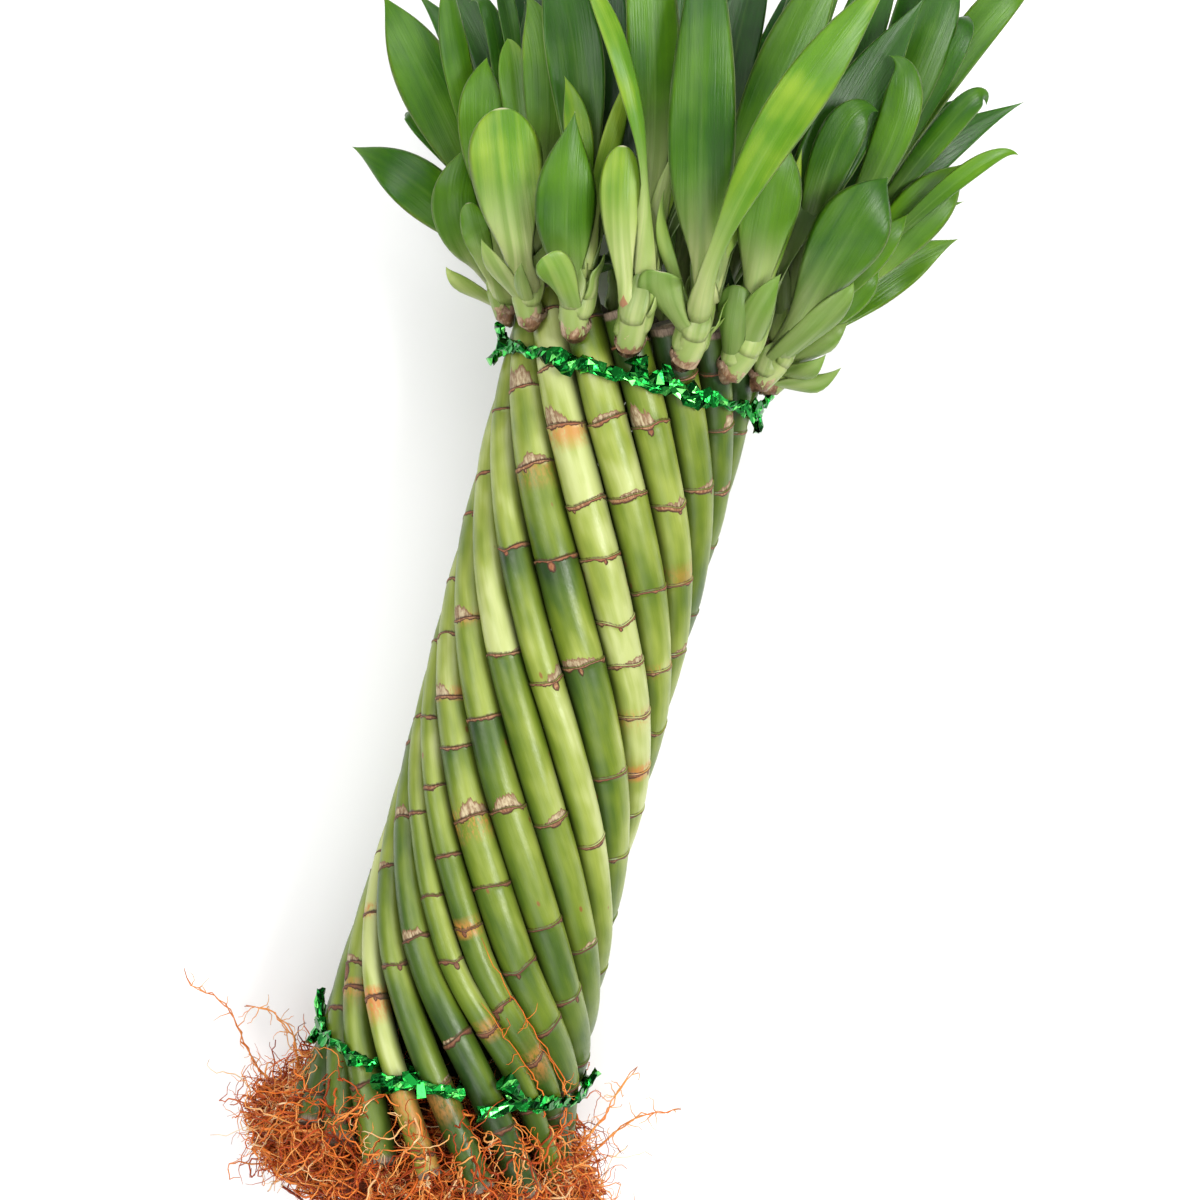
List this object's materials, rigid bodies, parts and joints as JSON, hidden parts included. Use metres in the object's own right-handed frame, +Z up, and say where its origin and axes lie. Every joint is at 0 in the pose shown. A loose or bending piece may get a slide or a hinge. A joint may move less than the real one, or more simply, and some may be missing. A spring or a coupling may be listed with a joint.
{
  "type": "lucky bamboo bunch",
  "caption": "Bunch of lucky bamboo canes twisted into an open tube, tied with green foil near both ends, with leafy side shoots and a mat of roots, lying down.",
  "frame": {"origin": "centre of the bunch's footprint, on the surface that it lies on", "axes": "+Y along the bunch towards its leaves, +Z up from the surface, +X to the right seen from above with the leaves at the top"},
  "size_m": [0.1663, 0.3598, 0.1284],
  "materials": {
    "cane": "living green cane, satin",
    "shoot": "living leaves, satin",
    "foil": "green foil, crumpled",
    "roots": "orange-red roots, matte"
  },
  "bodies": {
    "root": {"cane_01": "cane", "cane_02": "cane", "cane_03": "cane", "cane_04": "cane", "cane_05": "cane", "cane_06": "cane", "cane_07": "cane", "cane_08": "cane", "cane_09": "cane", "cane_10": "cane", "cane_11": "cane", "cane_12": "cane", "cane_13": "cane", "cane_14": "cane", "cane_15": "cane", "cane_16": "cane", "cane_17": "cane", "shoot_01": "shoot", "shoot_02": "shoot", "shoot_03": "shoot", "shoot_04": "shoot", "shoot_05": "shoot", "shoot_06": "shoot", "shoot_07": "shoot", "shoot_08": "shoot", "shoot_09": "shoot", "shoot_10": "shoot", "shoot_11": "shoot", "shoot_12": "shoot", "shoot_13": "shoot", "shoot_14": "shoot", "shoot_15": "shoot", "shoot_16": "shoot", "shoot_17": "shoot", "tie_top": "foil", "tie_bottom": "foil", "roots": "roots"}
  },
  "joints": []
}
